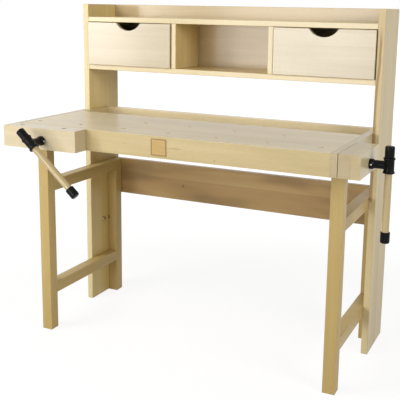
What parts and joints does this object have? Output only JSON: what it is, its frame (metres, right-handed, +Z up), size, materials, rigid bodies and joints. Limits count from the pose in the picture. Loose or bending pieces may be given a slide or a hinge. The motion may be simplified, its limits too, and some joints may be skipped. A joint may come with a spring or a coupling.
{
  "type": "woodworking bench",
  "caption": "Wooden joiner's bench with dog holes, a face vise and an end vise on screws with sliding handles, a tool tray, and a hutch with drawers between tall side panels.",
  "frame": {"origin": "middle of the bounding box's underside, on the floor", "axes": "+X along the bench towards the end vise, -Y towards the user, +Z up"},
  "size_m": [1.3938, 0.8138, 1.29],
  "materials": {
    "wood": "clear satin varnish",
    "top_wood": "clear gloss varnish",
    "steel": "bright",
    "black_metal": "satin",
    "badge": "satin lacquer",
    "black_caps": "satin"
  },
  "bodies": {
    "bench": {"top_slab": "top_wood", "front_apron": "wood", "left_end_cap": "wood", "right_end_cap": "wood", "tray_front_board": "wood", "tray_left_side": "wood", "tray_back_rail": "wood", "tray_floor": "wood", "left_front_leg": "wood", "left_rear_leg": "wood", "left_upper_rail": "wood", "left_lower_rail": "wood", "right_front_leg": "wood", "right_rear_leg": "wood", "right_upper_rail": "wood", "right_lower_rail": "wood", "back_stretcher": "wood", "left_side_panel": "wood", "right_side_panel": "wood", "left_panel_bolt": "steel", "hutch_top_shelf": "wood", "hutch_bottom_shelf": "wood", "left_divider": "wood", "right_divider": "wood", "hutch_back_board": "wood", "face_vise_nut": "steel", "face_vise_bearer": "wood", "end_vise_nut": "steel", "end_vise_bearer": "wood", "badge_plate": "badge"},
    "left_drawer": {"left_drawer_front": "wood", "left_drawer_left_wall": "wood", "left_drawer_right_wall": "wood", "left_drawer_back": "wood", "left_drawer_floor": "wood"},
    "right_drawer": {"right_drawer_front": "wood", "right_drawer_left_wall": "wood", "right_drawer_right_wall": "wood", "right_drawer_back": "wood", "right_drawer_floor": "wood"},
    "face_jaw": {"face_vise_jaw": "wood", "face_vise_rod_1": "steel", "face_vise_rod_2": "steel"},
    "face_screw": {"face_vise_screw": "steel", "face_vise_hub": "black_metal", "face_vise_pin": "steel"},
    "face_handle": {"face_vise_handle": "wood", "face_vise_upper_cap": "black_caps", "face_vise_lower_cap": "black_caps"},
    "end_jaw": {"end_vise_inner_jaw": "wood", "end_vise_outer_jaw": "wood", "end_vise_rod_1": "steel", "end_vise_rod_2": "steel"},
    "end_screw": {"end_vise_screw": "steel", "end_vise_hub": "black_metal", "end_vise_pin": "steel"},
    "end_handle": {"end_vise_handle": "wood", "end_vise_upper_cap": "black_caps", "end_vise_lower_cap": "black_caps"}
  },
  "joints": [
    {"name": "left_drawer_slide", "type": "slide", "parent": "bench", "child": "left_drawer", "axis": [0, -1, 0], "range_m": [0, 0.16]},
    {"name": "right_drawer_slide", "type": "slide", "parent": "bench", "child": "right_drawer", "axis": [0, -1, 0], "range_m": [0, 0.16]},
    {"name": "face_vise_jaw_slide", "type": "slide", "parent": "bench", "child": "face_jaw", "axis": [0, -1, 0], "range_m": [0, 0.12]},
    {"name": "face_vise_screw_turn", "type": "hinge", "parent": "face_jaw", "child": "face_screw", "pos_m": [-0.5269, -0.3261, 0.806], "axis": [0, -1, 0], "range_deg": [0, 7200]},
    {"name": "face_vise_handle_slide", "type": "slide", "parent": "face_screw", "child": "face_handle", "axis": [-0.7431, 0, 0.6691], "range_m": [0, 0.1914]},
    {"name": "end_vise_jaw_slide", "type": "slide", "parent": "bench", "child": "end_jaw", "axis": [1, 0, 0], "range_m": [0, 0.12]},
    {"name": "end_vise_screw_turn", "type": "hinge", "parent": "end_jaw", "child": "end_screw", "pos_m": [0.6161, -0.1451, 0.806], "axis": [1, 0, 0], "range_deg": [0, 7200]},
    {"name": "end_vise_handle_slide", "type": "slide", "parent": "end_screw", "child": "end_handle", "axis": [0, 0, 1], "range_m": [0, 0.1914]}
  ],
  "couplings": [
    {"joint": "face_vise_jaw_slide", "follows": "face_vise_screw_turn", "m_per_rad": 0.0009549},
    {"joint": "end_vise_jaw_slide", "follows": "end_vise_screw_turn", "m_per_rad": 0.0009549}
  ]
}
